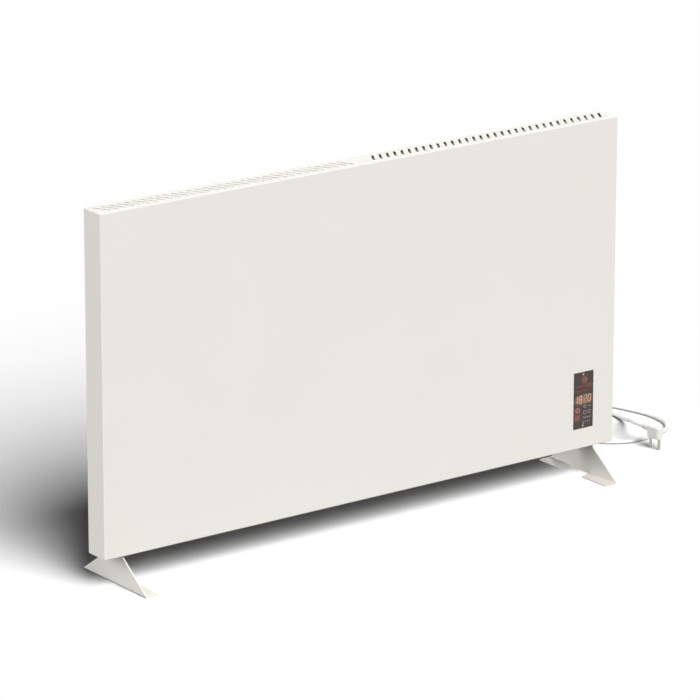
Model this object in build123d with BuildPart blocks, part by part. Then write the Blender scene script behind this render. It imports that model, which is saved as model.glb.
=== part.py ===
from build123d import *
import math
import os

# Electric panel convector on two folded feet, in millimetres.
# +X runs along the panel to the right, the front faces -Y, +Z is up.
# The origin is on the floor, under the middle of the feet.

# ---------------------------------------------------------------- driving sizes
# panel
panel_width = 1000.0
panel_height = 550.0
panel_depth = 45.0
floor_gap = 52.0            # floor to the underside of the panel
shell_sheet = 1.0
shell_bend = 1.6            # outer radius of the folds
cover_sheet = 1.0
cover_inset = 0.4           # the rear cover is this much smaller all round
lip_width = 14.0            # inward lip that the rear cover is screwed to
lip_sheet = 1.0

# outlet slots in the top and intake slots in the underside
slot_length = 30.0
slot_width = 4.3
slot_lean = 30.0            # degrees away from front-to-back
slot_pitch = 14.2
slot_first = 27.0           # middle of the panel to the first slot of each mirrored row
slot_last = 18.0            # least distance from the panel's end to the last slot
slot_from_front = 24.0
intake_length = 26.0
intake_width = 6.0
intake_pitch = 16.0

# feet
foot_sheet = 2.0
foot_bend = 2.6
foot_inset = 36.0           # panel end to the outer face of the foot
foot_flange = 25.0
foot_reach_front = 58.0     # tip ahead of the panel's front
foot_reach_back = 69.0      # tip behind the panel's rear
foot_top_front = 10.0       # top of the web behind the panel's front
foot_top_back = 4.0         # top of the web ahead of the panel's rear
notch_front = 10.0          # notch in the floor flange, from the panel's front
notch_back = 12.0           # ... to this far behind the panel's rear
notch_flare = 8.0
notch_radius = 6.0
foot_screw_spacing = 17.0

# fasteners
screw_shank = 1.6
screw_hole = 1.8
screw_head = 3.5
screw_head_height = 2.0
screw_length = 8.0
cover_screw_columns = 4
wall_bracket_width = 640.0
wall_bracket_height = 340.0
wall_bracket_hole = 2.5
wall_nut_flats = 8.0
wall_nut_height = 4.0
foot_screw_shank = 2.0
foot_screw_head = 4.0
foot_screw_head_height = 2.5
foot_screw_length = 12.0
foot_screw_hole = 2.25
foot_nut_flats = 7.0
foot_nut_height = 3.2
thread_clearance = 0.1

# stiffeners behind the front
stiffener_count = 3
stiffener_spacing = 250.0
stiffener_width = 44.0
stiffener_rise = 8.0
stiffener_sheet = 0.8
stiffener_flange = 10.0
stiffener_length = 380.0
stiffener_top_gap = 14.0

# heating element
element_height = 98.0       # panel's underside to the middle of the element
element_from_front = 21.0
element_from_left = 80.0    # panel's left end to the fins
element_from_partition = 60.0
fin_height = 46.0
fin_spacing = 11.0
fin_sheet = 1.6
fin_boss = 5.2
tube_radius = 3.2
tube_spacing = 22.0
tube_clearance = 0.05
tube_overrun = 20.0
bead_length = 6.0
stud_radius = 1.5
stud_length = 8.0
bracket_sheet = 1.2
bracket_height = 130.0
bracket_foot = 12.0
bracket_gap = 8.0           # end of the fins to a bracket
bush_neck = 5.0
bush_flange = 6.8
bush_flange_height = 1.5
bush_clearance = 0.1
shield_sheet = 0.6
shield_front_gap = 39.0     # panel's front to the shield
shield_low = 24.0
shield_high = 280.0
shield_return = 4.4

# over-heat cut-out on the shield
cutout_height = 158.0
cutout_from_partition = 18.0
cutout_cup = 8.0
cutout_cup_height = 5.0
cutout_body = 7.0
cutout_body_height = 9.0
blade_width = 3.0
blade_sheet = 0.8
blade_length = 7.0
blade_spacing = 8.0

# display in the front
display_width = 41.0
display_height = 96.5
display_from_right = 62.4   # panel end to the middle of the display
display_middle = 82.2       # panel's underside to the middle of the display
window_gap = 0.2
window_sheet = 2.0
window_proud = 0.2
frame_wall = 4.0
frame_depth = 12.0
frame_ledge = 2.0
frame_ear = 5.0
frame_ear_height = 3.0
board_sheet = 1.6
board_gap = 0.3
display_board_from_window = 4.2
stud_shank = 1.5
frame_stud_length = 7.0
frame_nut_flats = 5.5
frame_nut_height = 2.4
digits_width = 28.0
digits_height = 17.0
digits_above_middle = 1.0
touch_pad = 6.0
touch_pad_pitch = 13.0

# control compartment, tray, lid and mains electronics
partition_from_right = 138.0
partition_sheet = 1.0
grommet_radius = 6.0
grommet_flange = 8.0
grommet_bore = 4.0
tray_width = 96.0
tray_height = 110.0
tray_low = 46.0
tray_wall = 2.0
tray_depth = 29.0
lid_sheet = 2.0
tray_boss = 3.5
tray_boss_height = 5.0
tray_screw_inset = 14.0
board_margin = 4.0
board_screw_inset = 6.0
board_screw_shank = 1.1
board_screw_head = 2.5
board_screw_head_height = 1.6
relay_size = (19.0, 13.0, 15.5)
supply_size = (30.0, 14.0, 24.0)
terminal_size = (34.0, 11.0, 12.0)
wire_radius = 1.2
wire_notch = 9.0
wire_bend_room = 17.0       # power board's left edge to the relay
wire_spacing = 4.8
wire_bend = 2.5
wire_start = 6.0            # straight run of a wire out of its terminal
wire_loop = 8.0             # how far a wire runs past a stud or blade before it turns
wire_step = 10.0            # rise or drop beside the partition and the tray

# tip-over switch under the partition's shelf
tip_width = 14.0
tip_depth = 24.0
tip_height = 25.0
tip_above_tray = 6.0
tip_wall = 1.5
tip_pin_radius = 1.0
tip_pin_clearance = 0.05
tip_arm = 11.0
tip_weight = 4.0
tip_side_gap = 0.4
tip_from_partition = 60.0
tip_pin_drop = 5.0

# room sensor in the intake air
sensor_radius = 2.5
sensor_length = 12.0
sensor_from_right = 22.0
sensor_slot_spacing = 20.0
sensor_clip_wall = 1.5
sensor_lift = 8.0
sensor_wire = 0.8

# mains entry, lead and plug
gland_from_right = 70.0
gland_height = 27.0
gland_radius = 6.0
gland_clearance = 0.2
gland_flange = 11.0
gland_flange_height = 3.0
gland_neck = 9.0
gland_nut_flats = 17.0
gland_nut_height = 4.5
relief_root = 6.5
relief_tip = 4.4
relief_length = 34.0
relief_groove_count = 5
plug_groove_count = 2
groove_depth = 0.9
groove_width = 1.6
cord_radius = 3.5
cord_first_run = 26.0       # straight run out of the strain relief
cord_last_run = 17.0        # straight run into the plug
plug_width = 29.0           # along the row of pins
plug_thickness = 14.0
plug_height = 21.0          # pins' face to the top
plug_corner = 6.3
plug_top_edge = 3.0
plug_low_edge = 1.0
plug_neck = 5.5
plug_neck_rise = 15.0       # pins' face to the middle of the neck
plug_neck_length = 4.0      # end of the body to the strain relief
plug_relief_length = 7.0
plug_heading = 97.0         # degrees from +X, seen from above, from the plug to its lead
plug_place = (632.0, 20.4)  # midway between the pins, seen from above
plug_lift = 0.3             # floor to the pins' tips
pin_radius = 2.4
pin_length = 19.0
pin_spacing = 19.0
pin_nose = 1.4

# ---------------------------------------------------------------- derived places
foot_length = foot_reach_front + panel_depth + foot_reach_back
front_y = foot_reach_front - foot_length / 2
rear_y = front_y + panel_depth
inner_front_y = front_y + shell_sheet
corner_front_y = front_y + shell_bend    # sheets that cross the panel end clear of its fold
inner_rear_y = rear_y - cover_sheet
lip_front_y = inner_rear_y - lip_sheet
middle_y = (front_y + rear_y) / 2
bottom_z = floor_gap
top_z = bottom_z + panel_height
middle_z = bottom_z + panel_height / 2
floor_z = bottom_z + shell_sheet
right_x = panel_width / 2
inner_right_x = right_x - shell_sheet

foot_outer_x = right_x - foot_inset
foot_screw_x = foot_outer_x - foot_flange / 2 - foot_sheet / 2
foot_top_y = (front_y + foot_top_front, rear_y - foot_top_back)
foot_screw_y = sum(foot_top_y) / 2

display_x = right_x - display_from_right
display_z = bottom_z + display_middle
window_front_y = front_y - window_proud
window_back_y = window_front_y + window_sheet
frame_back_y = inner_front_y + frame_depth
display_board_y = window_back_y + display_board_from_window

partition_x = right_x - partition_from_right
element_left = element_from_left - right_x
element_right = partition_x - element_from_partition
element_y = front_y + element_from_front
element_z = bottom_z + element_height
slot_count = int((right_x - slot_first - slot_last) / slot_pitch) + 1
intake_count = int((element_right - element_left) / intake_pitch) - 1
tube_rows = (element_z - tube_spacing / 2, element_z + tube_spacing / 2)
bracket_x = (element_left - bracket_gap, element_right + bracket_gap)
tube_end_x = bracket_x[1] + bracket_sheet / 2 + tube_overrun
shield_y = front_y + shield_front_gap

shelf_z = bottom_z + tray_low + tray_height + tip_above_tray + tip_height
cutout_x = partition_x - cutout_from_partition
cutout_z = bottom_z + cutout_height
grommet_y = element_y
grommet_z = element_z

tray_x = display_x - 4.0
tray_z = bottom_z + tray_low + tray_height / 2
tray_front_y = inner_rear_y - tray_depth
tray_floor_y = inner_rear_y - tray_wall
board_front_y = tray_floor_y - tray_boss_height - board_sheet
board_width = tray_width - 2 * tray_wall - board_margin
board_height = tray_height - 2 * tray_wall - board_margin

sensor_x = right_x - sensor_from_right
sensor_y = front_y + slot_from_front
sensor_z = floor_z + sensor_lift

gland_x = right_x - gland_from_right
gland_z = bottom_z + gland_height

os.makedirs("parts", exist_ok=True)


def upright(y):
    """Plane across the panel at depth y: local x is +X, local y is +Z, normal is -Y."""
    return Plane.XZ.offset(-y)


def facing_back(points):
    """Places at (x, y, z) points whose local +Z points to +Y."""
    return [Location(point, (-90, 0, 0)) for point in points]


def facing_front(points):
    """Places at (x, y, z) points whose local +Z points to -Y."""
    return [Location(point, (90, 0, 0)) for point in points]


def pan_screws(places, head_radius, head_height, shank_radius, shank_length):
    """Pan-head screws: each head stands on its place, the shank goes the other way."""
    with BuildPart() as screws:
        with Locations(*places):
            Cylinder(head_radius, head_height, align=(Align.CENTER, Align.CENTER, Align.MIN))
            Cylinder(shank_radius, shank_length, align=(Align.CENTER, Align.CENTER, Align.MAX))
            with Locations((0, 0, head_height)):
                Box(1.6 * head_radius, 0.25 * head_radius, 0.8 * head_height, mode=Mode.SUBTRACT)
    return screws.part


def hex_nuts(places, across_flats, height, bore_radius):
    """Hexagon nuts that stand on their places."""
    with BuildPart() as nuts:
        for place in places:
            with BuildSketch(Plane(place)):
                RegularPolygon(across_flats / 2, 6, major_radius=False)
                Circle(bore_radius, mode=Mode.SUBTRACT)
            extrude(amount=height)
    return nuts.part


def wire_between(points, bend_radius, radius):
    """Round wire along straight runs joined by arcs of one bend radius."""
    with BuildPart() as wire:
        with BuildLine() as path:
            FilletPolyline(*points, radius=bend_radius)
        with BuildSketch(Plane(origin=path.line @ 0, z_dir=path.line % 0)):
            Circle(radius)
        sweep(path=path.line)
    return wire.part


# ---------------------------------------------------------------- front shell
frame_stud_places = [
    (display_x + side * (display_width / 2 + frame_wall + frame_ear), display_z + end * display_height / 3)
    for side in (-1, 1)
    for end in (-1, 1)
]

edge_z = (bottom_z + lip_width / 2 + shell_sheet, top_z - lip_width / 2 - shell_sheet)
edge_x = right_x - lip_width / 2 - shell_sheet
column_pitch = 2 * edge_x / (cover_screw_columns - 1)
cover_screw_points = [
    (-edge_x + column * column_pitch, z) for z in edge_z for column in range(cover_screw_columns)
] + [(side * edge_x, middle_z + row * panel_height / 6) for side in (-1, 1) for row in (-1, 1)]

foot_screw_points = [
    (side * foot_screw_x, foot_screw_y + end * foot_screw_spacing / 2) for side in (-1, 1) for end in (-1, 1)
]

with BuildPart() as front_shell:
    with Locations((0, (front_y + inner_rear_y) / 2, middle_z)):
        Box(panel_width, inner_rear_y - front_y, panel_height)
    fillet(front_shell.edges().filter_by(Axis.Y), radius=shell_bend)
    fillet(front_shell.faces().sort_by(Axis.Y)[0].edges(), radius=shell_bend)
    offset(amount=-shell_sheet, openings=front_shell.faces().sort_by(Axis.Y)[-1])
    # rear lips, all round
    with BuildSketch(upright(inner_rear_y)):
        with Locations((0, middle_z)):
            Rectangle(panel_width - shell_sheet, panel_height - shell_sheet)
            Rectangle(
                panel_width - 2 * (shell_sheet + lip_width),
                panel_height - 2 * (shell_sheet + lip_width),
                mode=Mode.SUBTRACT,
            )
    extrude(amount=lip_sheet)
    with BuildSketch(upright(inner_rear_y)):
        with Locations(*cover_screw_points):
            Circle(screw_hole)
    extrude(amount=lip_sheet, mode=Mode.SUBTRACT)
    # outlet slots: two rows that lean towards each other at the front
    with BuildSketch(Plane.XY.offset(top_z)):
        for side in (-1, 1):
            for index in range(slot_count):
                with Locations((side * (slot_first + index * slot_pitch), front_y + slot_from_front)):
                    SlotOverall(slot_length, slot_width, rotation=90 - side * slot_lean)
    extrude(amount=-shell_sheet, mode=Mode.SUBTRACT)
    # intake slots in the underside, holes for the feet
    with BuildSketch(Plane.XY.offset(bottom_z)):
        with Locations(((element_left + element_right) / 2, front_y + slot_from_front)):
            with GridLocations(intake_pitch, 0, intake_count, 1):
                SlotOverall(intake_length, intake_width, rotation=90)
        with Locations((sensor_x, front_y + slot_from_front)):
            with GridLocations(sensor_slot_spacing, 0, 2, 1):
                SlotOverall(intake_length, intake_width, rotation=90)
        with Locations(*foot_screw_points):
            Circle(foot_screw_hole)
    extrude(amount=shell_sheet, mode=Mode.SUBTRACT)
    # opening for the display, and the weld studs that hold its frame
    with BuildSketch(upright(front_y)):
        with Locations((display_x, display_z)):
            Rectangle(display_width, display_height)
    extrude(amount=-shell_sheet, mode=Mode.SUBTRACT)
    with BuildSketch(upright(inner_front_y)):
        with Locations(*frame_stud_places):
            Circle(stud_shank)
    extrude(amount=-frame_stud_length)
front_shell.part.label = "front_shell"
export_step(front_shell.part, "parts/front_shell.step")

# ---------------------------------------------------------------- stiffeners
stiffener_low_z = top_z - shell_sheet - stiffener_top_gap - stiffener_length
stiffener_first_x = (element_left + element_right) / 2 - stiffener_spacing * (stiffener_count - 1) / 2
half = stiffener_width / 2
crown = half - stiffener_flange

with BuildPart() as front_stiffeners:
    for index in range(stiffener_count):
        stiffener_x = stiffener_first_x + index * stiffener_spacing
        with BuildSketch(Plane((stiffener_x, inner_front_y, stiffener_low_z))):
            with BuildLine():
                Polyline(
                    (-half, 0),
                    (-crown, 0),
                    (-crown, stiffener_rise - stiffener_sheet),
                    (crown, stiffener_rise - stiffener_sheet),
                    (crown, 0),
                    (half, 0),
                    (half, stiffener_sheet),
                    (crown + stiffener_sheet, stiffener_sheet),
                    (crown + stiffener_sheet, stiffener_rise),
                    (-crown - stiffener_sheet, stiffener_rise),
                    (-crown - stiffener_sheet, stiffener_sheet),
                    (-half, stiffener_sheet),
                    close=True,
                )
            make_face()
        extrude(amount=stiffener_length)
front_stiffeners.part.label = "front_stiffeners"
export_step(front_stiffeners.part, "parts/front_stiffeners.step")

# ---------------------------------------------------------------- rear cover
wall_points = [
    (side * wall_bracket_width / 2, middle_z + end * wall_bracket_height / 2)
    for side in (-1, 1)
    for end in (-1, 1)
]
tray_screw_points = [
    (tray_x + side * (tray_width / 2 - tray_screw_inset), tray_z + end * (tray_height / 2 - tray_screw_inset))
    for side in (-1, 1)
    for end in (-1, 1)
]

with BuildPart() as rear_cover:
    with BuildSketch(upright(rear_y)):
        with Locations((0, middle_z)):
            RectangleRounded(panel_width - 2 * cover_inset, panel_height - 2 * cover_inset, shell_bend)
        with Locations(*cover_screw_points, *tray_screw_points):
            Circle(screw_hole, mode=Mode.SUBTRACT)
        with Locations(*wall_points):
            Circle(wall_bracket_hole, mode=Mode.SUBTRACT)
        with Locations((gland_x, gland_z)):
            Circle(gland_radius + gland_clearance, mode=Mode.SUBTRACT)
    extrude(amount=cover_sheet)
rear_cover.part.label = "rear_cover"
export_step(rear_cover.part, "parts/rear_cover.step")

with BuildPart() as rear_cover_screws:
    add(
        pan_screws(
            facing_back([(x, rear_y, z) for x, z in cover_screw_points]),
            screw_head,
            screw_head_height,
            screw_shank,
            screw_length,
        )
    )
rear_cover_screws.part.label = "rear_cover_screws"
export_step(rear_cover_screws.part, "parts/rear_cover_screws.step")

with BuildPart() as wall_nuts:
    add(
        hex_nuts(
            facing_front([(x, inner_rear_y, z) for x, z in wall_points]),
            wall_nut_flats,
            wall_nut_height,
            wall_bracket_hole,
        )
    )
wall_nuts.part.label = "wall_nuts"
export_step(wall_nuts.part, "parts/wall_nuts.step")

# ---------------------------------------------------------------- feet
notch_y = (front_y + notch_front, rear_y + notch_back)

with BuildPart() as foot_right:
    # folded channel: top flange, web, floor flange
    with BuildSketch(Plane.XZ.offset(-foot_length / 2)):
        with BuildLine():
            FilletPolyline(
                (foot_outer_x - foot_flange, foot_sheet / 2),
                (foot_outer_x - foot_sheet / 2, foot_sheet / 2),
                (foot_outer_x - foot_sheet / 2, bottom_z - foot_sheet / 2),
                (foot_outer_x - foot_flange, bottom_z - foot_sheet / 2),
                radius=foot_bend - foot_sheet / 2,
            )
        trace(line_width=foot_sheet)
    extrude(amount=foot_length)
    # the web narrows upwards; the floor flange keeps its full length
    with BuildSketch(Plane.YZ.offset(foot_outer_x)):
        with Locations((0, bottom_z / 2)):
            Rectangle(foot_length, bottom_z)
        with BuildLine():
            Polyline(
                (-foot_length / 2, foot_sheet),
                (foot_length / 2, foot_sheet),
                (foot_top_y[1], bottom_z),
                (foot_top_y[0], bottom_z),
                close=True,
            )
        make_face(mode=Mode.SUBTRACT)
        with Locations((0, foot_sheet / 2)):
            Rectangle(foot_length, foot_sheet, mode=Mode.SUBTRACT)
    extrude(amount=-foot_flange, mode=Mode.SUBTRACT)
    # notch between the front and back pads of the floor flange
    with BuildSketch(Plane.XY) as notch:
        with BuildLine():
            Polyline(
                (foot_outer_x - foot_sheet, notch_y[0]),
                (foot_outer_x - foot_sheet, notch_y[1]),
                (foot_outer_x - foot_flange, notch_y[1] + notch_flare),
                (foot_outer_x - foot_flange, notch_y[0] - notch_flare),
                close=True,
            )
        make_face()
        fillet(notch.vertices().group_by(Axis.X)[-1], radius=notch_radius)
    extrude(amount=foot_bend, mode=Mode.SUBTRACT)
    with BuildSketch(Plane.XY.offset(bottom_z)):
        with Locations(*[point for point in foot_screw_points if point[0] > 0]):
            Circle(foot_screw_hole)
    extrude(amount=-foot_sheet, mode=Mode.SUBTRACT)
foot_right.part.label = "foot_right"
export_step(foot_right.part, "parts/foot_right.step")

with BuildPart() as foot_left:
    mirror(foot_right.part, about=Plane.YZ)
foot_left.part.label = "foot_left"
export_step(foot_left.part, "parts/foot_left.step")

foot_screw_heads_z = bottom_z - foot_sheet

with BuildPart() as foot_screws:
    add(
        pan_screws(
            [Location((x, y, foot_screw_heads_z), (180, 0, 0)) for x, y in foot_screw_points],
            foot_screw_head,
            foot_screw_head_height,
            foot_screw_shank,
            foot_screw_length,
        )
    )
foot_screws.part.label = "foot_screws"
export_step(foot_screws.part, "parts/foot_screws.step")

with BuildPart() as foot_nuts:
    add(
        hex_nuts(
            [Location((x, y, floor_z)) for x, y in foot_screw_points],
            foot_nut_flats,
            foot_nut_height,
            foot_screw_shank + thread_clearance,
        )
    )
foot_nuts.part.label = "foot_nuts"
export_step(foot_nuts.part, "parts/foot_nuts.step")

# ---------------------------------------------------------------- heating element
with BuildPart() as element_tube:
    with BuildLine() as hairpin:
        turn_x = bracket_x[0] - bracket_sheet / 2 - bush_flange_height
        low_leg = Line((tube_end_x, element_y, tube_rows[0]), (turn_x, element_y, tube_rows[0]))
        turn = ThreePointArc(
            low_leg @ 1,
            (turn_x - tube_spacing / 2, element_y, element_z),
            (turn_x, element_y, tube_rows[1]),
        )
        Line(turn @ 1, (tube_end_x, element_y, tube_rows[1]))
    with BuildSketch(Plane(origin=hairpin.line @ 0, z_dir=hairpin.line % 0)):
        Circle(tube_radius)
    sweep(path=hairpin.line)
element_tube.part.label = "element_tube"
export_step(element_tube.part, "parts/element_tube.step")

with BuildPart() as element_terminals:
    with BuildSketch(Plane.YZ.offset(tube_end_x)):
        with Locations(*[(element_y, row) for row in tube_rows]):
            Circle(tube_radius)
    extrude(amount=bead_length)
    with BuildSketch(Plane.YZ.offset(tube_end_x + bead_length)):
        with Locations(*[(element_y, row) for row in tube_rows]):
            Circle(stud_radius)
    extrude(amount=stud_length)
element_terminals.part.label = "element_terminals"
export_step(element_terminals.part, "parts/element_terminals.step")

with BuildPart() as element_fins:
    with BuildSketch(Plane.YZ.offset(element_left)):
        with Locations((element_y, element_z)):
            with GridLocations(fin_spacing, 0, 3, 1):
                Rectangle(fin_sheet, fin_height)
            with GridLocations(0, tube_spacing, 1, 2):
                Rectangle(2 * fin_spacing, fin_sheet)
                Circle(fin_boss)
                Circle(tube_radius + tube_clearance, mode=Mode.SUBTRACT)
    extrude(amount=element_right - element_left)
element_fins.part.label = "element_fins"
export_step(element_fins.part, "parts/element_fins.step")

with BuildPart() as element_bushes:
    for plate_x in bracket_x:
        for row in tube_rows:
            with BuildSketch(Plane.YZ.offset(plate_x)):
                with Locations((element_y, row)):
                    Circle(bush_neck - bush_clearance)
                    Circle(tube_radius + tube_clearance, mode=Mode.SUBTRACT)
            extrude(amount=bracket_sheet / 2, both=True)
            for side in (-1, 1):
                with BuildSketch(Plane.YZ.offset(plate_x + side * bracket_sheet / 2)):
                    with Locations((element_y, row)):
                        Circle(bush_flange)
                        Circle(tube_radius + tube_clearance, mode=Mode.SUBTRACT)
                extrude(amount=side * bush_flange_height)
element_bushes.part.label = "element_bushes"
export_step(element_bushes.part, "parts/element_bushes.step")


def element_bracket(plate_x, side):
    """Sheet plate across the panel with a foot on the shell's underside, towards side."""
    with BuildPart() as bracket:
        with BuildSketch(Plane.YZ.offset(plate_x - bracket_sheet / 2)):
            with BuildLine():
                Polyline(
                    (corner_front_y, floor_z),
                    (shield_y, floor_z),
                    (shield_y, floor_z + bracket_height),
                    (corner_front_y, floor_z + bracket_height),
                    close=True,
                )
            make_face()
            with Locations(*[(element_y, row) for row in tube_rows]):
                Circle(bush_neck, mode=Mode.SUBTRACT)
        extrude(amount=bracket_sheet)
        with Locations((plate_x + side * bracket_foot / 2, (corner_front_y + shield_y) / 2, floor_z)):
            Box(
                bracket_foot,
                shield_y - corner_front_y,
                bracket_sheet,
                align=(Align.CENTER, Align.CENTER, Align.MIN),
            )
    return bracket.part


with BuildPart() as element_bracket_left:
    add(element_bracket(bracket_x[0], 1))
element_bracket_left.part.label = "element_bracket_left"
export_step(element_bracket_left.part, "parts/element_bracket_left.step")

with BuildPart() as element_bracket_right:
    add(element_bracket(bracket_x[1], -1))
element_bracket_right.part.label = "element_bracket_right"
export_step(element_bracket_right.part, "parts/element_bracket_right.step")

shield_x = (bracket_x[0] - bracket_sheet / 2, partition_x)

with BuildPart() as heat_shield:
    with BuildSketch(Plane.YZ.offset(shield_x[0])):
        with BuildLine():
            low = bottom_z + shield_low
            high = bottom_z + shield_high
            Polyline(
                (shield_y, low),
                (shield_y + shield_return, low),
                (shield_y + shield_return, low + shield_sheet),
                (shield_y + shield_sheet, low + shield_sheet),
                (shield_y + shield_sheet, high - shield_sheet),
                (shield_y + shield_return, high - shield_sheet),
                (shield_y + shield_return, high),
                (shield_y, high),
                close=True,
            )
        make_face()
    extrude(amount=shield_x[1] - shield_x[0])
heat_shield.part.label = "heat_shield"
export_step(heat_shield.part, "parts/heat_shield.step")

# ---------------------------------------------------------------- over-heat cut-out
blade_front_y = shield_y - cutout_cup_height - cutout_body_height

with BuildPart() as thermal_cutout:
    with BuildSketch(upright(shield_y)):
        with Locations((cutout_x, cutout_z)):
            Circle(cutout_cup)
    extrude(amount=cutout_cup_height)
    with BuildSketch(upright(shield_y - cutout_cup_height)):
        with Locations((cutout_x, cutout_z)):
            Circle(cutout_body)
    extrude(amount=cutout_body_height)
    with BuildSketch(upright(blade_front_y)):
        with Locations((cutout_x, cutout_z)):
            with GridLocations(blade_spacing, 0, 2, 1):
                Rectangle(blade_sheet, blade_width)
    extrude(amount=blade_length)
thermal_cutout.part.label = "thermal_cutout"
export_step(thermal_cutout.part, "parts/thermal_cutout.step")

# ---------------------------------------------------------------- control partition
with BuildPart() as control_partition:
    with BuildSketch(upright(lip_front_y)):
        with BuildLine():
            Polyline(
                (partition_x, floor_z),
                (partition_x + partition_sheet, floor_z),
                (partition_x + partition_sheet, shelf_z),
                (inner_right_x, shelf_z),
                (inner_right_x, shelf_z + partition_sheet),
                (partition_x, shelf_z + partition_sheet),
                close=True,
            )
        make_face()
    extrude(amount=lip_front_y - corner_front_y)
    with BuildSketch(Plane.YZ.offset(partition_x)):
        with Locations((grommet_y, grommet_z)):
            Circle(grommet_radius)
    extrude(amount=partition_sheet, mode=Mode.SUBTRACT)
control_partition.part.label = "control_partition"
export_step(control_partition.part, "parts/control_partition.step")

with BuildPart() as lead_grommet:
    grommet_middle = Plane.YZ.offset(partition_x + partition_sheet / 2)
    with BuildSketch(grommet_middle):
        with Locations((grommet_y, grommet_z)):
            Circle(grommet_radius)
            SlotOverall(2 * grommet_bore, grommet_bore, rotation=90, mode=Mode.SUBTRACT)
    extrude(amount=partition_sheet / 2, both=True)
    for side in (-1, 1):
        with BuildSketch(grommet_middle.offset(side * partition_sheet / 2)):
            with Locations((grommet_y, grommet_z)):
                Circle(grommet_flange)
                SlotOverall(2 * grommet_bore, grommet_bore, rotation=90, mode=Mode.SUBTRACT)
        extrude(amount=side * partition_sheet)
lead_grommet.part.label = "lead_grommet"
export_step(lead_grommet.part, "parts/lead_grommet.step")

# ---------------------------------------------------------------- control tray and lid
board_screw_points = [
    (
        tray_x + side * (board_width / 2 - board_screw_inset),
        tray_z + end * (board_height / 2 - board_screw_inset),
    )
    for side in (-1, 1)
    for end in (-1, 1)
]
tray_right_x = tray_x + tray_width / 2
tray_left_x = tray_x - tray_width / 2
tray_low_z = tray_z - tray_height / 2

with BuildPart() as control_tray:
    with BuildSketch(upright(inner_rear_y)):
        with Locations((tray_x, tray_z)):
            RectangleRounded(tray_width, tray_height, tray_wall)
    extrude(amount=tray_depth)
    with BuildSketch(upright(tray_floor_y)):
        with Locations((tray_x, tray_z)):
            Rectangle(tray_width - 2 * tray_wall, tray_height - 2 * tray_wall)
    extrude(amount=tray_depth, mode=Mode.SUBTRACT)
    with BuildSketch(upright(tray_floor_y)):
        with Locations(*board_screw_points, *tray_screw_points):
            Circle(tray_boss)
    extrude(amount=tray_boss_height)
    with BuildSketch(upright(inner_rear_y)):
        with Locations(*tray_screw_points):
            Circle(screw_hole)
    extrude(amount=tray_wall + tray_boss_height, mode=Mode.SUBTRACT)
    with BuildSketch(upright(tray_floor_y - tray_boss_height)):
        with Locations(*board_screw_points):
            Circle(board_screw_shank + thread_clearance)
    extrude(amount=-tray_boss_height, mode=Mode.SUBTRACT)
    # notches for the wires: left to the element, down to the mains entry and the sensor
    with Locations((tray_left_x, grommet_y, grommet_z)):
        Box(3 * tray_wall, wire_notch, 2 * wire_notch, mode=Mode.SUBTRACT)
    with Locations((gland_x, 0, tray_low_z), (tray_right_x - wire_notch, 0, tray_low_z)):
        Box(wire_notch, wire_notch, 3 * tray_wall, mode=Mode.SUBTRACT)
control_tray.part.label = "control_tray"
export_step(control_tray.part, "parts/control_tray.step")

ribbon_slot = (16.0, 4.0)
ribbon_z = display_z

with BuildPart() as control_lid:
    with BuildSketch(upright(tray_front_y)):
        with Locations((tray_x, tray_z)):
            RectangleRounded(tray_width, tray_height, tray_wall)
        with Locations((display_x, ribbon_z)):
            Rectangle(*ribbon_slot, mode=Mode.SUBTRACT)
    extrude(amount=lid_sheet)
control_lid.part.label = "control_lid"
export_step(control_lid.part, "parts/control_lid.step")

with BuildPart() as tray_screws:
    add(
        pan_screws(
            facing_back([(x, rear_y, z) for x, z in tray_screw_points]),
            screw_head,
            screw_head_height,
            screw_shank,
            screw_length - 2 * cover_sheet,
        )
    )
tray_screws.part.label = "tray_screws"
export_step(tray_screws.part, "parts/tray_screws.step")

# ---------------------------------------------------------------- mains electronics
with BuildPart() as power_board:
    with BuildSketch(upright(board_front_y + board_sheet)):
        with Locations((tray_x, tray_z)):
            Rectangle(board_width, board_height)
        with Locations(*board_screw_points):
            Circle(board_screw_shank + thread_clearance, mode=Mode.SUBTRACT)
    extrude(amount=board_sheet)
power_board.part.label = "power_board"
export_step(power_board.part, "parts/power_board.step")

with BuildPart() as board_screws:
    add(
        pan_screws(
            facing_front([(x, board_front_y, z) for x, z in board_screw_points]),
            board_screw_head,
            board_screw_head_height,
            board_screw_shank,
            board_sheet + tray_boss_height,
        )
    )
board_screws.part.label = "board_screws"
export_step(board_screws.part, "parts/board_screws.step")


def board_block(x, z, size):
    """Moulded block of the given size that stands on the front of the power board."""
    with BuildPart() as block:
        with Locations((x, board_front_y, z)):
            Box(*size, align=(Align.CENTER, Align.MAX, Align.CENTER))
        fillet(block.edges().filter_by(Axis.Y), radius=1.0)
        chamfer(block.faces().sort_by(Axis.Y)[0].edges(), length=0.5)
    return block.part


relay_x = tray_x - board_width / 2 + relay_size[0] / 2 + wire_bend_room
relay_z = grommet_z + relay_size[2] / 4
supply_x = tray_x + board_width / 4 - board_screw_inset / 2
supply_z = tray_z + board_height / 4 - board_screw_inset
terminal_z = tray_low_z + tray_wall + board_screw_inset + terminal_size[2]
terminal_x = gland_x

with BuildPart() as relay:
    add(board_block(relay_x, relay_z, relay_size))
relay.part.label = "relay"
export_step(relay.part, "parts/relay.step")

with BuildPart() as power_supply:
    add(board_block(supply_x, supply_z, supply_size))
power_supply.part.label = "power_supply"
export_step(power_supply.part, "parts/power_supply.step")

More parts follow.
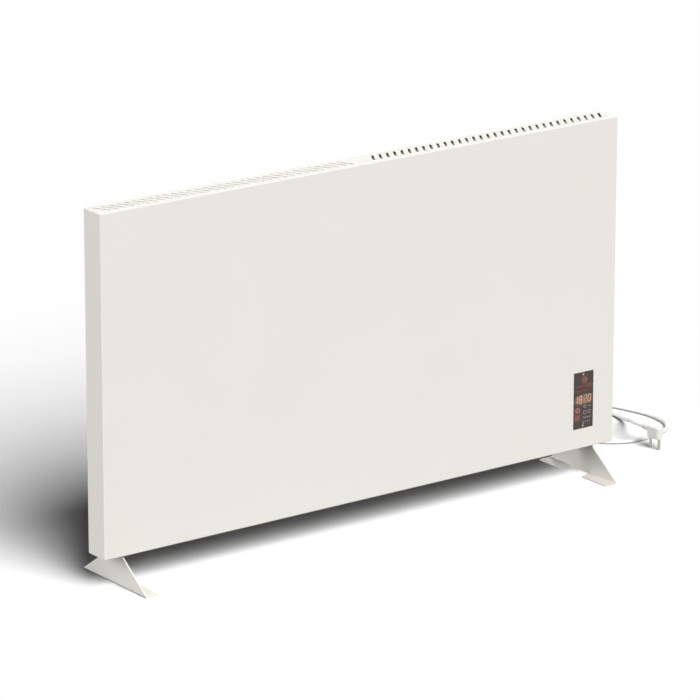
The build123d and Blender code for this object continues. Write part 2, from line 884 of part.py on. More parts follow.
with BuildPart() as terminal_block:
    add(board_block(terminal_x, terminal_z, terminal_size))
    # screw wells of its ways
    with BuildSketch(upright(board_front_y - terminal_size[1])):
        with Locations((terminal_x, terminal_z)):
            with GridLocations(terminal_size[0] / 4, 0, 4, 1):
                Circle(2.0)
    extrude(amount=-terminal_size[1] / 3, mode=Mode.SUBTRACT)
terminal_block.part.label = "terminal_block"
export_step(terminal_block.part, "parts/terminal_block.step")

# ---------------------------------------------------------------- display
with BuildPart() as display_window:
    with BuildSketch(upright(window_back_y)):
        with Locations((display_x, display_z)):
            Rectangle(display_width - 2 * window_gap, display_height - 2 * window_gap)
    extrude(amount=window_sheet)
    fillet(display_window.edges().filter_by(Axis.Y), radius=0.6)
    chamfer(display_window.faces().sort_by(Axis.Y)[0].edges(), length=0.15)
display_window.part.label = "display_window"
export_step(display_window.part, "parts/display_window.step")

frame_width = display_width + 2 * frame_wall
frame_height = display_height + 2 * frame_wall

with BuildPart() as display_frame:
    with BuildSketch(upright(frame_back_y)):
        with Locations((display_x, display_z)):
            RectangleRounded(frame_width, frame_height, frame_wall / 2)
    extrude(amount=frame_depth)
    # ears on the weld studs
    with BuildSketch(upright(inner_front_y + frame_ear_height)):
        with Locations(*frame_stud_places):
            Circle(frame_ear)
        for x, z in frame_stud_places:
            with Locations(((x + display_x) / 2, z)):
                Rectangle(abs(x - display_x), 2 * frame_ear)
    extrude(amount=frame_ear_height)
    # seat of the window, light well, seat of the display board
    with BuildSketch(upright(window_back_y)):
        with Locations((display_x, display_z)):
            Rectangle(display_width, display_height)
    extrude(amount=window_sheet, mode=Mode.SUBTRACT)
    with BuildSketch(upright(frame_back_y)):
        with Locations((display_x, display_z)):
            Rectangle(display_width - 2 * frame_ledge, display_height - 2 * frame_ledge)
    extrude(amount=frame_depth, mode=Mode.SUBTRACT)
    with BuildSketch(upright(frame_back_y)):
        with Locations((display_x, display_z)):
            Rectangle(display_width + frame_ledge, display_height + frame_ledge)
    extrude(amount=frame_back_y - display_board_y, mode=Mode.SUBTRACT)
    with BuildSketch(upright(inner_front_y + frame_ear_height)):
        with Locations(*frame_stud_places):
            Circle(stud_shank + thread_clearance)
    extrude(amount=frame_ear_height, mode=Mode.SUBTRACT)
display_frame.part.label = "display_frame"
export_step(display_frame.part, "parts/display_frame.step")

with BuildPart() as display_nuts:
    add(
        hex_nuts(
            facing_back([(x, inner_front_y + frame_ear_height, z) for x, z in frame_stud_places]),
            frame_nut_flats,
            frame_nut_height,
            stud_shank + thread_clearance,
        )
    )
display_nuts.part.label = "display_nuts"
export_step(display_nuts.part, "parts/display_nuts.step")

with BuildPart() as display_board:
    with BuildSketch(upright(display_board_y + board_sheet)):
        with Locations((display_x, display_z)):
            Rectangle(
                display_width + frame_ledge - 2 * board_gap,
                display_height + frame_ledge - 2 * board_gap,
            )
    extrude(amount=board_sheet)
display_board.part.label = "display_board"
export_step(display_board.part, "parts/display_board.step")

with BuildPart() as digit_module:
    with BuildSketch(upright(display_board_y)):
        with Locations((display_x, display_z + digits_above_middle)):
            RectangleRounded(digits_width, digits_height, 0.6)
    extrude(amount=display_board_from_window - board_gap)
digit_module.part.label = "digit_module"
export_step(digit_module.part, "parts/digit_module.step")

touch_low_z = display_z - display_height / 2 + frame_ledge + touch_pad

with BuildPart() as touch_pads:
    with BuildSketch(upright(display_board_y)):
        with Locations((display_x, touch_low_z + touch_pad_pitch / 2)):
            with GridLocations(display_width / 2, touch_pad_pitch, 2, 2):
                RectangleRounded(touch_pad, touch_pad, 0.8)
    extrude(amount=display_board_from_window)
touch_pads.part.label = "touch_pads"
export_step(touch_pads.part, "parts/touch_pads.step")

ribbon_sheet = 1.0
ribbon_width = 12.0

with BuildPart() as display_ribbon:
    with Locations((display_x, display_board_y + board_sheet, ribbon_z)):
        Box(
            ribbon_width,
            board_front_y - display_board_y - board_sheet,
            ribbon_sheet,
            align=(Align.CENTER, Align.MIN, Align.CENTER),
        )
display_ribbon.part.label = "display_ribbon"
export_step(display_ribbon.part, "parts/display_ribbon.step")

# ---------------------------------------------------------------- tip-over switch
tip_x = partition_x + tip_from_partition
tip_y = middle_y
tip_pin_z = shelf_z - tip_wall - tip_pin_drop
tip_inside = tip_width - 2 * tip_wall

with BuildPart() as tip_housing:
    with Locations((tip_x, tip_y, shelf_z)):
        Box(tip_width, tip_depth, tip_height, align=(Align.CENTER, Align.CENTER, Align.MAX))
    with Locations((tip_x, tip_y, shelf_z - tip_wall)):
        Box(
            tip_inside,
            tip_depth,
            tip_height - 2 * tip_wall,
            align=(Align.CENTER, Align.CENTER, Align.MAX),
            mode=Mode.SUBTRACT,
        )
    with BuildSketch(Plane.YZ.offset(tip_x)):
        with Locations((tip_y, tip_pin_z)):
            Circle(tip_pin_radius)
    extrude(amount=tip_width, both=True, mode=Mode.SUBTRACT)
tip_housing.part.label = "tip_housing"
export_step(tip_housing.part, "parts/tip_housing.step")

with BuildPart() as tip_pin:
    with BuildSketch(Plane.YZ.offset(tip_x)):
        with Locations((tip_y, tip_pin_z)):
            Circle(tip_pin_radius)
    extrude(amount=tip_width / 2, both=True)
tip_pin.part.label = "tip_pin"
export_step(tip_pin.part, "parts/tip_pin.step")

pendulum_width = tip_inside - 2 * tip_side_gap

with BuildPart() as tip_pendulum:
    with BuildSketch(Plane.YZ.offset(tip_x - pendulum_width / 2)):
        with Locations((tip_y, tip_pin_z)):
            Circle(2.2 * tip_pin_radius)
        with Locations((tip_y, tip_pin_z - tip_arm)):
            Circle(tip_weight)
        with Locations((tip_y, tip_pin_z - tip_arm / 2)):
            Rectangle(2 * tip_pin_radius, tip_arm)
        with Locations((tip_y, tip_pin_z)):
            Circle(tip_pin_radius + tip_pin_clearance, mode=Mode.SUBTRACT)
    extrude(amount=pendulum_width)
tip_pendulum.part.label = "tip_pendulum"
export_step(tip_pendulum.part, "parts/tip_pendulum.step")

tip_floor_z = shelf_z - tip_height + tip_wall

with BuildPart() as tip_sensor:
    with Locations((tip_x, tip_y, tip_floor_z)):
        Box(tip_inside - 2 * tip_side_gap, 8.0, 1.2, align=(Align.CENTER, Align.CENTER, Align.MIN))
tip_sensor.part.label = "tip_sensor"
export_step(tip_sensor.part, "parts/tip_sensor.step")

# ---------------------------------------------------------------- room sensor
with BuildPart() as sensor_clip:
    with BuildSketch(Plane.XZ.offset(-sensor_y)):
        with Locations((sensor_x, sensor_z)):
            Circle(sensor_radius + sensor_clip_wall)
        with Locations((sensor_x, floor_z + sensor_lift / 2)):
            Rectangle(2 * sensor_clip_wall, sensor_lift)
        with Locations((sensor_x, floor_z + sensor_clip_wall / 2)):
            Rectangle(4 * sensor_radius, sensor_clip_wall)
        with Locations((sensor_x, sensor_z)):
            Circle(sensor_radius, mode=Mode.SUBTRACT)
        with Locations((sensor_x, sensor_z + sensor_radius)):
            Rectangle(sensor_radius, 2 * sensor_clip_wall, mode=Mode.SUBTRACT)
    extrude(amount=sensor_length / 4, both=True)
sensor_clip.part.label = "sensor_clip"
export_step(sensor_clip.part, "parts/sensor_clip.step")

with BuildPart() as room_sensor:
    with BuildSketch(Plane.XZ.offset(-sensor_y)):
        with Locations((sensor_x, sensor_z)):
            Circle(sensor_radius)
    extrude(amount=sensor_length / 2, both=True)
    fillet(room_sensor.edges().filter_by(GeomType.CIRCLE), radius=sensor_radius / 2)
room_sensor.part.label = "room_sensor"
export_step(room_sensor.part, "parts/room_sensor.step")

# ---------------------------------------------------------------- mains entry
with BuildPart() as cord_gland:
    with BuildSketch(upright(rear_y)):
        with Locations((gland_x, gland_z)):
            Circle(gland_flange)
    extrude(amount=-gland_flange_height)
    fillet(cord_gland.faces().sort_by(Axis.Y)[-1].edges(), radius=gland_flange_height / 3)
    with BuildSketch(upright(rear_y)):
        with Locations((gland_x, gland_z)):
            Circle(gland_radius)
    extrude(amount=gland_neck)
cord_gland.part.label = "cord_gland"
export_step(cord_gland.part, "parts/cord_gland.step")

with BuildPart() as gland_nut:
    add(
        hex_nuts(
            facing_front([(gland_x, inner_rear_y, gland_z)]),
            gland_nut_flats,
            gland_nut_height,
            gland_radius + thread_clearance,
        )
    )
gland_nut.part.label = "gland_nut"
export_step(gland_nut.part, "parts/gland_nut.step")

relief_start_y = rear_y + gland_flange_height
relief_end_y = relief_start_y + relief_length


def tapered_relief(length, root, tip, grooves, place):
    """Tapered, grooved strain relief along +Z of its place."""
    with BuildPart() as relief:
        with BuildSketch(place):
            Circle(root)
        with BuildSketch(place.offset(length)):
            Circle(tip)
        loft()
        pitch = length / (grooves + 1)
        for index in range(1, grooves + 1):
            here = place.offset(index * pitch - groove_width / 2)
            radius = root + (tip - root) * index / (grooves + 1)
            with BuildSketch(here):
                Circle(root + 1.0)
                Circle(radius - groove_depth, mode=Mode.SUBTRACT)
            extrude(amount=groove_width, mode=Mode.SUBTRACT)
    return relief.part


with BuildPart() as cord_relief:
    relief_plane = Plane(origin=(gland_x, relief_start_y, gland_z), z_dir=(0, 1, 0))
    add(tapered_relief(relief_length, relief_root, relief_tip, relief_groove_count, relief_plane))
cord_relief.part.label = "cord_relief"
export_step(cord_relief.part, "parts/cord_relief.step")

# ---------------------------------------------------------------- plug, standing on its pins
heading = math.radians(plug_heading)
lead_way = Vector(math.cos(heading), math.sin(heading), 0)
plug_face = Plane(origin=(*plug_place, plug_lift + pin_length), x_dir=lead_way, z_dir=(0, 0, 1))
plug_end = Plane(
    origin=plug_face.origin + lead_way * plug_width / 2 + plug_face.z_dir * plug_neck_rise,
    x_dir=plug_face.z_dir,
    z_dir=lead_way,
)

with BuildPart() as plug_body:
    with BuildSketch(plug_face):
        RectangleRounded(plug_width, plug_thickness, plug_corner)
    extrude(amount=plug_height)
    fillet(plug_body.edges().group_by(Axis.Z)[-1], radius=plug_top_edge)
    fillet(plug_body.edges().group_by(Axis.Z)[0], radius=plug_low_edge)
    # the neck starts inside the rounded end
    with BuildSketch(plug_end.offset(-plug_corner)):
        Circle(plug_neck)
    extrude(amount=plug_corner + plug_neck_length)
    relief_place = plug_end.offset(plug_neck_length)
    add(tapered_relief(plug_relief_length, plug_neck, relief_tip, plug_groove_count, relief_place))
plug_body.part.label = "plug_body"
export_step(plug_body.part, "parts/plug_body.step")

with BuildPart() as plug_pins:
    with BuildSketch(plug_face):
        with GridLocations(pin_spacing, 0, 2, 1):
            Circle(pin_radius)
    extrude(amount=-pin_length)
    plug_axis = Axis(plug_face.origin, plug_face.z_dir)
    tips = plug_pins.faces().filter_by(GeomType.PLANE).sort_by(plug_axis)[:2]
    fillet(tips.edges(), radius=pin_nose)
plug_pins.part.label = "plug_pins"
export_step(plug_pins.part, "parts/plug_pins.step")

# ---------------------------------------------------------------- mains lead on the floor
cord_z = cord_radius + 0.1
cord_end = relief_place.offset(plug_relief_length).origin
cord_route = [
    (gland_x, relief_end_y, gland_z),
    (gland_x, relief_end_y + cord_first_run, gland_z),
    (432.0, 116.0, 58.0),
    (438.0, 150.0, 22.0),
    (448.0, 184.0, 5.0),
    (457.0, 224.0, cord_z),
    (466.0, 300.0, cord_z),
    (518.0, 352.0, cord_z),
    (590.0, 368.0, cord_z),
    (650.0, 340.0, cord_z),
    (688.0, 296.0, cord_z),
    (713.0, 246.0, cord_z),
    (731.0, 190.0, cord_z),
    (738.0, 147.0, cord_z),
    (730.0, 104.0, cord_z),
    (703.0, 76.0, cord_z),
    (664.0, 67.0, cord_z),
    (615.0, 63.0, cord_z),
    (568.0, 97.0, cord_z),
    (545.0, 150.0, cord_z),
    (553.0, 210.0, cord_z),
    (594.0, 256.0, cord_z),
    (648.0, 258.0, cord_z),
    (692.0, 224.0, cord_z),
    (686.0, 172.0, 5.0),
    (671.0, 142.0, 12.0),
    (652.0, 114.0, 22.0),
    (634.0, 88.0, 32.6),
    tuple(cord_end + lead_way * cord_last_run),
    tuple(cord_end),
]


def route_radii(route):
    """Largest tangent arc at each corner: 0.45 of the shorter run over tan(half the turn)."""
    radii = []
    for before, here, after in zip(route, route[1:], route[2:]):
        run_in = Vector(*here) - Vector(*before)
        run_out = Vector(*after) - Vector(*here)
        half_turn = math.radians(run_in.get_angle(run_out)) / 2
        radii.append(0.45 * min(run_in.length, run_out.length) / math.tan(half_turn))
    return radii


with BuildPart() as mains_cord:
    with BuildLine() as cord_path:
        FilletPolyline(*cord_route, radius=route_radii(cord_route))
    with BuildSketch(Plane(origin=cord_path.line @ 0, z_dir=cord_path.line % 0)):
        Circle(cord_radius)
    sweep(path=cord_path.line)
mains_cord.part.label = "mains_cord"
export_step(mains_cord.part, "parts/mains_cord.step")
cord_length = cord_path.wires()[0].length
print("cord length", round(cord_length), "mm, radii", [round(radius) for radius in route_radii(cord_route)])
cord_filled = mains_cord.part.volume / (math.pi * cord_radius**2 * cord_length)
print("cord volume / (section x length)", round(cord_filled, 4))

# ---------------------------------------------------------------- inner wiring
stud_end_x = tube_end_x + bead_length + stud_length
blade_end_y = blade_front_y - blade_length
blade_x = (cutout_x - blade_spacing / 2, cutout_x + blade_spacing / 2)
relay_left_x = relay_x - relay_size[0] / 2
relay_mid_y = board_front_y - relay_size[1] / 2
block_left_x = terminal_x - terminal_size[0] / 2
block_low_z = terminal_z - terminal_size[2] / 2
block_mid_y = board_front_y - terminal_size[1] / 2
upper_wire_z = grommet_z + wire_spacing / 2
lower_wire_z = grommet_z - wire_spacing / 2
slack_y = blade_end_y - wire_loop

with BuildPart() as relay_lead:
    # relay to the element's upper stud
    add(
        wire_between(
            [
                (relay_left_x, relay_mid_y, upper_wire_z),
                (relay_left_x - wire_start, relay_mid_y, upper_wire_z),
                (tray_left_x + 3, grommet_y, upper_wire_z),
                (partition_x - 4, grommet_y, upper_wire_z),
                (stud_end_x + wire_loop, grommet_y, tube_rows[1]),
                (stud_end_x, grommet_y, tube_rows[1]),
            ],
            wire_bend,
            wire_radius,
        )
    )
relay_lead.part.label = "relay_lead"
export_step(relay_lead.part, "parts/relay_lead.step")

with BuildPart() as block_lead:
    # terminal block to the cut-out
    add(
        wire_between(
            [
                (block_left_x, block_mid_y, terminal_z),
                (block_left_x - 2 * wire_start, block_mid_y, terminal_z),
                (tray_left_x + wire_loop, grommet_y, lower_wire_z - wire_step),
                (tray_left_x - 1, grommet_y, lower_wire_z),
                (partition_x - 4, grommet_y, lower_wire_z),
                (partition_x - 9, slack_y, lower_wire_z + wire_step),
                (blade_x[1], slack_y, cutout_z),
                (blade_x[1], blade_end_y, cutout_z),
            ],
            wire_bend,
            wire_radius,
        )
    )
block_lead.part.label = "block_lead"
export_step(block_lead.part, "parts/block_lead.step")

with BuildPart() as cutout_lead:
    # cut-out to the element's lower stud
    add(
        wire_between(
            [
                (blade_x[0], blade_end_y, cutout_z),
                (blade_x[0], slack_y, cutout_z),
                (blade_x[0] + 2, slack_y - 2, tube_rows[1]),
                (stud_end_x + 7, slack_y + 2, tube_rows[0] + 4),
                (stud_end_x + wire_loop, grommet_y, tube_rows[0]),
                (stud_end_x, grommet_y, tube_rows[0]),
            ],
            wire_bend,
            wire_radius,
        )
    )
cutout_lead.part.label = "cutout_lead"
export_step(cutout_lead.part, "parts/cutout_lead.step")

with BuildPart() as mains_tails:
    # two cores from the gland up to the terminal block
    for side in (-1, 1):
        core_x = gland_x + side * wire_spacing / 2
        add(
            wire_between(
                [
                    (core_x, rear_y - gland_neck, gland_z),
                    (core_x, block_mid_y, gland_z),
                    (core_x, block_mid_y, block_low_z),
                ],
                wire_bend,
                wire_radius,
            )
        )
mains_tails.part.label = "mains_tails"
export_step(mains_tails.part, "parts/mains_tails.step")

sensor_entry_x = tray_right_x - wire_notch

with BuildPart() as sensor_lead:
    add(
        wire_between(
            [
                (sensor_x, sensor_y + sensor_length / 2, sensor_z),
                (sensor_x, sensor_y + sensor_length, sensor_z),
                (sensor_entry_x, 2.0, tray_low_z - 14),
                (sensor_entry_x, 1.0, tray_low_z + 7),
                (sensor_entry_x - 8, 1.0, terminal_z),
                (sensor_entry_x - 8, board_front_y, terminal_z),
            ],
            wire_bend,
            sensor_wire,
        )
    )
sensor_lead.part.label = "sensor_lead"
export_step(sensor_lead.part, "parts/sensor_lead.step")
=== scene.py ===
import math
import bpy
import bmesh
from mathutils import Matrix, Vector


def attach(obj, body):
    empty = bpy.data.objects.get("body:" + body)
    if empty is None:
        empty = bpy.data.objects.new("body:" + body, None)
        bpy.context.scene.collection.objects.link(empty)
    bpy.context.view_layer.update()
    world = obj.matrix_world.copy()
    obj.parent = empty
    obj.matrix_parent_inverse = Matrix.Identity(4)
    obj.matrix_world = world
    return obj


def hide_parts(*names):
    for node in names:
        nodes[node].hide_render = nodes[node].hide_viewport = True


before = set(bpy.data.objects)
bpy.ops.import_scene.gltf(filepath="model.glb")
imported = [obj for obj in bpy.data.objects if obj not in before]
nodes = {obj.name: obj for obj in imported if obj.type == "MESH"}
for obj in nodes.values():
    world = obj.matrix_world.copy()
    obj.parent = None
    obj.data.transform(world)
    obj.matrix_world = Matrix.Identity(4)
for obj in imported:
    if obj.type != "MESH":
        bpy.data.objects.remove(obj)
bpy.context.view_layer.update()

collection = bpy.context.scene.collection
mm = 0.001


# small helpers

def hexToLinear(code):
    channels = [int(code[i:i + 2], 16) / 255 for i in (1, 3, 5)]
    linear = [c / 12.92 if c <= 0.04045 else ((c + 0.055) / 1.055) ** 2.4 for c in channels]
    return (*linear, 1.0)


def addNode(tree, kind, inputs=None, **settings):
    # inputs: socket name or number -> a value, or another node's output to link
    node = tree.nodes.new(kind)
    for key, value in settings.items():
        setattr(node, key, value)
    for key, value in (inputs or {}).items():
        if isinstance(value, bpy.types.NodeSocket):
            tree.links.new(value, node.inputs[key])
        else:
            node.inputs[key].default_value = value
    return node


# sockets of a Mix node that mixes colours: its two inputs and its output
colourA, colourB, colourOut = 6, 7, 2


def newMaterial(name):
    material = bpy.data.materials.new(name)
    material.use_nodes = True
    tree = material.node_tree
    tree.nodes.clear()
    place = addNode(tree, "ShaderNodeTexCoord").outputs["Object"]
    return material, tree, place


def closeMaterial(tree, shader):
    addNode(tree, "ShaderNodeOutputMaterial", {"Surface": shader.outputs[0]})


def perMetre(sizeMm):
    # noise scale whose blotches are about this many millimetres across
    return 1000.0 / sizeMm


def backdropRays(tree):
    # 1 for the rays that show the background: to the camera, in a reflection or through glass
    rays = addNode(tree, "ShaderNodeLightPath")
    seen = rays.outputs["Is Camera Ray"]
    for kind in ("Is Glossy Ray", "Is Transmission Ray"):
        either = addNode(tree, "ShaderNodeMath", {0: seen, 1: rays.outputs[kind]}, operation="MAXIMUM")
        seen = either.outputs[0]
    return seen


def dress(nodeName, material):
    mesh = nodes[nodeName].data
    mesh.materials.clear()
    mesh.materials.append(material)


def newPiece(name, mesh):
    piece = bpy.data.objects.new(name, mesh)
    collection.objects.link(piece)
    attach(piece, "heater")
    return piece


# camera, from the photograph's vanishing lines: metres, degrees and mm
camera = {
    "place": (-4.488, -6.0676, 2.6133),
    "turn": (72.9024, -0.0653, -36.3809),
    "lens": 257.73,
    "sensor": 36.0,
    "reach": 60.0,
}

cameraData = bpy.data.cameras.new("studioCamera")
cameraData.lens = camera["lens"]
cameraData.sensor_width = camera["sensor"]
cameraData.clip_end = camera["reach"]
cameraObject = bpy.data.objects.new("studioCamera", cameraData)
cameraObject.location = camera["place"]
cameraObject.rotation_euler = [math.radians(angle) for angle in camera["turn"]]
collection.objects.link(cameraObject)
bpy.context.scene.camera = cameraObject
print("camera set")

# mains lead: PVC jacket over two cores, out of the back, round in loose loops on the floor and up to its plug
lead = {
    "radius": 3.5 * mm,
    "length": 1.40,
    "roundness": 8,
    "stepsPerPoint": 16,
    # control points in mm, from the heater's back to the plug
    "route": [
        (430.0, 54.0, 79.0), (430.0, 80.0, 79.0), (432.0, 116.0, 58.0), (438.0, 150.0, 22.0),
        (448.0, 184.0, 5.0), (457.0, 224.0, 3.6), (466.0, 300.0, 3.6), (518.0, 352.0, 3.6),
        (590.0, 368.0, 3.6), (650.0, 340.0, 3.6), (688.0, 296.0, 3.6), (713.0, 246.0, 3.6),
        (731.0, 190.0, 3.6), (738.0, 147.0, 3.6), (730.0, 104.0, 3.6), (703.0, 76.0, 3.6),
        (664.0, 67.0, 3.6), (615.0, 63.0, 3.6), (568.0, 97.0, 3.6), (545.0, 150.0, 3.6),
        (553.0, 210.0, 3.6), (594.0, 256.0, 3.6), (648.0, 258.0, 3.6), (692.0, 224.0, 3.6),
        (686.0, 172.0, 5.0), (671.0, 142.0, 12.0), (652.0, 114.0, 22.0), (634.0, 88.0, 32.6),
        (626.821, 62.583, 34.3), (628.892, 45.71, 34.3),
    ],
}

leadCurve = bpy.data.curves.new("mainsLead", "CURVE")
leadCurve.dimensions = "3D"
leadCurve.bevel_depth = 1.0      # times each point's radius below, so that the curve's box is the lead's own
leadCurve.bevel_resolution = lead["roundness"]
leadCurve.resolution_u = lead["stepsPerPoint"]
leadSpline = leadCurve.splines.new("NURBS")
leadSpline.points.add(len(lead["route"]) - 1)
for point, spot in zip(leadSpline.points, lead["route"]):
    point.co = (*[value * mm for value in spot], 1.0)
    point.radius = lead["radius"]
leadSpline.order_u = 3
leadSpline.use_endpoint_u = True
leadPiece = newPiece("mainsLead", leadCurve)
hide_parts("mains_cord")
print("mains lead laid")


# materials: sizes in mm, gloss is the lowest and highest roughness

# polyester powder coat on steel sheet, sprayed and stoved: even warm white, satin, with a faint orange peel
powderCoat = {
    "colour": "#E4E1DC",
    "shade": "#E1DED8",
    "cloud": 190.0,
    "peel": 2.4,        # real peel is about 1 mm; drawn coarser so that it just shows
    "peelHeight": 0.03,
    "peelStrength": 0.35,
    "gloss": (0.40, 0.50),
    "ior": 1.5,
}


def powderCoatedSteel():
    material, tree, place = newMaterial("powderCoatedSteel")
    cloud = addNode(
        tree, "ShaderNodeTexNoise",
        {"Vector": place, "Scale": perMetre(powderCoat["cloud"]), "Detail": 2.0},
    )
    colour = addNode(
        tree, "ShaderNodeMix",
        {
            "Factor": cloud.outputs["Fac"],
            colourA: hexToLinear(powderCoat["colour"]), colourB: hexToLinear(powderCoat["shade"]),
        },
        data_type="RGBA",
    )
    peel = addNode(
        tree, "ShaderNodeTexNoise",
        {"Vector": place, "Scale": perMetre(powderCoat["peel"]), "Detail": 3.0, "Roughness": 0.55},
    )
    bump = addNode(
        tree, "ShaderNodeBump",
        {
            "Height": peel.outputs["Fac"],
            "Strength": powderCoat["peelStrength"], "Distance": powderCoat["peelHeight"] * mm,
        },
    )
    low, high = powderCoat["gloss"]
    gloss = addNode(tree, "ShaderNodeMapRange", {"Value": peel.outputs["Fac"], "To Min": low, "To Max": high})
    shader = addNode(
        tree, "ShaderNodeBsdfPrincipled",
        {
            "Base Color": colour.outputs[colourOut], "Roughness": gloss.outputs[0],
            "IOR": powderCoat["ior"], "Normal": bump.outputs[0],
        },
    )
    closeMaterial(tree, shader)
    return material


# toughened glass printed black on its back: deep charcoal, mirror smooth, with a few specks of dust,
# and the backlight bleeding through the print round the signs
displayGlass = {
    "colour": "#332C23",
    "dust": "#4E4A44",
    "speck": 1.4,       # real dust is far finer; drawn coarser so that it just shows
    "dustFrom": 0.62,
    "dustTo": 0.80,
    "gloss": (0.05, 0.14),
    "ior": 1.52,
    "bleed": 0.75,
    "edge": 0.7,        # outer part of each glow, over which it fades out
    # middle x and z, half width and half height, colour
    "glows": [
        (437.0, 170.5, 14.0, 15.0, "#4D2C15"),
        (439.5, 168.5, 9.0, 9.0, "#855945"),
        (437.0, 154.5, 24.0, 10.0, "#572710"),
        (442.5, 155.0, 10.0, 8.0, "#5E1C27"),
        (452.0, 158.5, 8.0, 6.0, "#6D3A1C"),
        (438.0, 134.8, 26.0, 12.4, "#9A735B"),
        (425.5, 110.5, 11.0, 21.0, "#6B3326"),
        (445.0, 109.0, 15.0, 24.0, "#49332D"),
    ],
}


def tintedGlass():
    material, tree, place = newMaterial("tintedGlass")
    dust = addNode(
        tree, "ShaderNodeTexNoise",
        {"Vector": place, "Scale": perMetre(displayGlass["speck"]), "Detail": 6.0},
    )
    specks = addNode(
        tree, "ShaderNodeMapRange",
        {
            "Value": dust.outputs["Fac"],
            "From Min": displayGlass["dustFrom"], "From Max": displayGlass["dustTo"],
        },
    )
    colour = addNode(
        tree, "ShaderNodeMix",
        {
            "Factor": specks.outputs[0],
            colourA: hexToLinear(displayGlass["colour"]), colourB: hexToLinear(displayGlass["dust"]),
        },
        data_type="RGBA",
    )
    low, high = displayGlass["gloss"]
    gloss = addNode(tree, "ShaderNodeMapRange", {"Value": dust.outputs["Fac"], "To Min": low, "To Max": high})
    black = hexToLinear("#000000")
    glow = black
    bare = 0.0
    for x, z, halfWidth, halfHeight, code in displayGlass["glows"]:
        local = addNode(
            tree, "ShaderNodeMapping",
            {
                "Vector": place,
                "Location": (-x / halfWidth, 0.0, -z / halfHeight),
                "Scale": (1 / (halfWidth * mm), 0.0, 1 / (halfHeight * mm)),
            },
        )
        spread = addNode(
            tree, "ShaderNodeTexGradient",
            {"Vector": local.outputs[0]},
            gradient_type="SPHERICAL",
        )
        soft = addNode(
            tree, "ShaderNodeMapRange",
            {"Value": spread.outputs["Fac"], "From Max": displayGlass["edge"]},
            interpolation_type="SMOOTHSTEP",
        ).outputs[0]
        glow = addNode(
            tree, "ShaderNodeMix",
            {"Factor": soft, colourA: glow, colourB: hexToLinear(code)},
            data_type="RGBA",
        ).outputs[colourOut]
        bare = addNode(tree, "ShaderNodeMath", {0: bare, 1: soft}, operation="MAXIMUM").outputs[0]
    # the print is left out where the backlight comes through: only the glass's own gloss lies over the glow
    printed = addNode(
        tree, "ShaderNodeMix",
        {"Factor": bare, colourA: colour.outputs[colourOut], colourB: black},
        data_type="RGBA",
    )
    shader = addNode(
        tree, "ShaderNodeBsdfPrincipled",
        {
            "Base Color": printed.outputs[colourOut], "Roughness": gloss.outputs[0],
            "IOR": displayGlass["ior"],
            "Emission Color": glow, "Emission Strength": displayGlass["bleed"],
        },
    )
    closeMaterial(tree, shader)
    return material


# light-emitting diode behind a smoked diffuser: a soft glow, a little uneven over its face
diode = {"diffuser": "#3A3835", "roughness": 0.35, "blotch": 3.0, "dimmest": 0.8, "brightest": 1.2}


def litSegment(name, code, strength):
    material, tree, place = newMaterial(name)
    blotches = addNode(
        tree, "ShaderNodeTexNoise",
        {"Vector": place, "Scale": perMetre(diode["blotch"]), "Detail": 1.0},
    )
    power = addNode(
        tree, "ShaderNodeMapRange",
        {
            "Value": blotches.outputs["Fac"],
            "To Min": diode["dimmest"] * strength, "To Max": diode["brightest"] * strength,
        },
    )
    shader = addNode(
        tree, "ShaderNodeBsdfPrincipled",
        {
            "Base Color": hexToLinear(diode["diffuser"]), "Roughness": diode["roughness"],
            "Emission Color": hexToLinear(code), "Emission Strength": power.outputs[0],
        },
    )
    closeMaterial(tree, shader)
    return material


# plastics, rubbers and ceramics; real grain is a few tenths of a mm, drawn coarser so that it shows
moulded = {
    # flexible PVC, extruded over the cores: white, with a soft sheen
    "extrudedPvcJacket": {
        "colour": "#F2F1EE", "grain": 4.0, "depth": 0.03, "gloss": (0.38, 0.50), "ior": 1.53,
    },
    # rigid PVC from a spark-eroded tool: dull white
    "mouldedPvcPlug": {
        "colour": "#EFEDE9", "grain": 1.2, "depth": 0.04, "gloss": (0.42, 0.55), "ior": 1.53,
    },
    # ABS from a spark-eroded tool: greyish white and matt
    "mouldedWhiteAbs": {
        "colour": "#DDDCD6", "grain": 1.0, "depth": 0.04, "gloss": (0.45, 0.58), "ior": 1.54,
    },
    # glass-filled PBT: near black, with a fine dull grain
    "mouldedBlackPbt": {
        "colour": "#1C1C1D", "grain": 0.8, "depth": 0.04, "gloss": (0.40, 0.55), "ior": 1.55,
    },
    # glass epoxy under green solder mask: dark green and fairly shiny
    "solderMaskedBoard": {
        "colour": "#15482B", "grain": 2.0, "depth": 0.04, "gloss": (0.22, 0.38), "ior": 1.5,
    },
    # steatite beads and bushes, fired with a thin glaze: warm ivory
    "glazedSteatite": {
        "colour": "#E4DFD2", "grain": 1.5, "depth": 0.04, "gloss": (0.30, 0.45), "ior": 1.6,
    },
    # moulded silicone rubber: milky grey, no shine
    "mouldedSilicone": {
        "colour": "#CFCCC2", "grain": 1.2, "depth": 0.04, "gloss": (0.55, 0.70), "ior": 1.41,
    },
    # silicone wire insulation: brick red, slightly waxy
    "redSiliconeWire": {
        "colour": "#8E2A22", "grain": 2.0, "depth": 0.04, "gloss": (0.40, 0.55), "ior": 1.41,
    },
}
# for all of them: brightness of the painted shade in the grain's hollows, and how strongly the grain shows
grainHollowPaintedShade = 0.94
grainStrength = 0.4


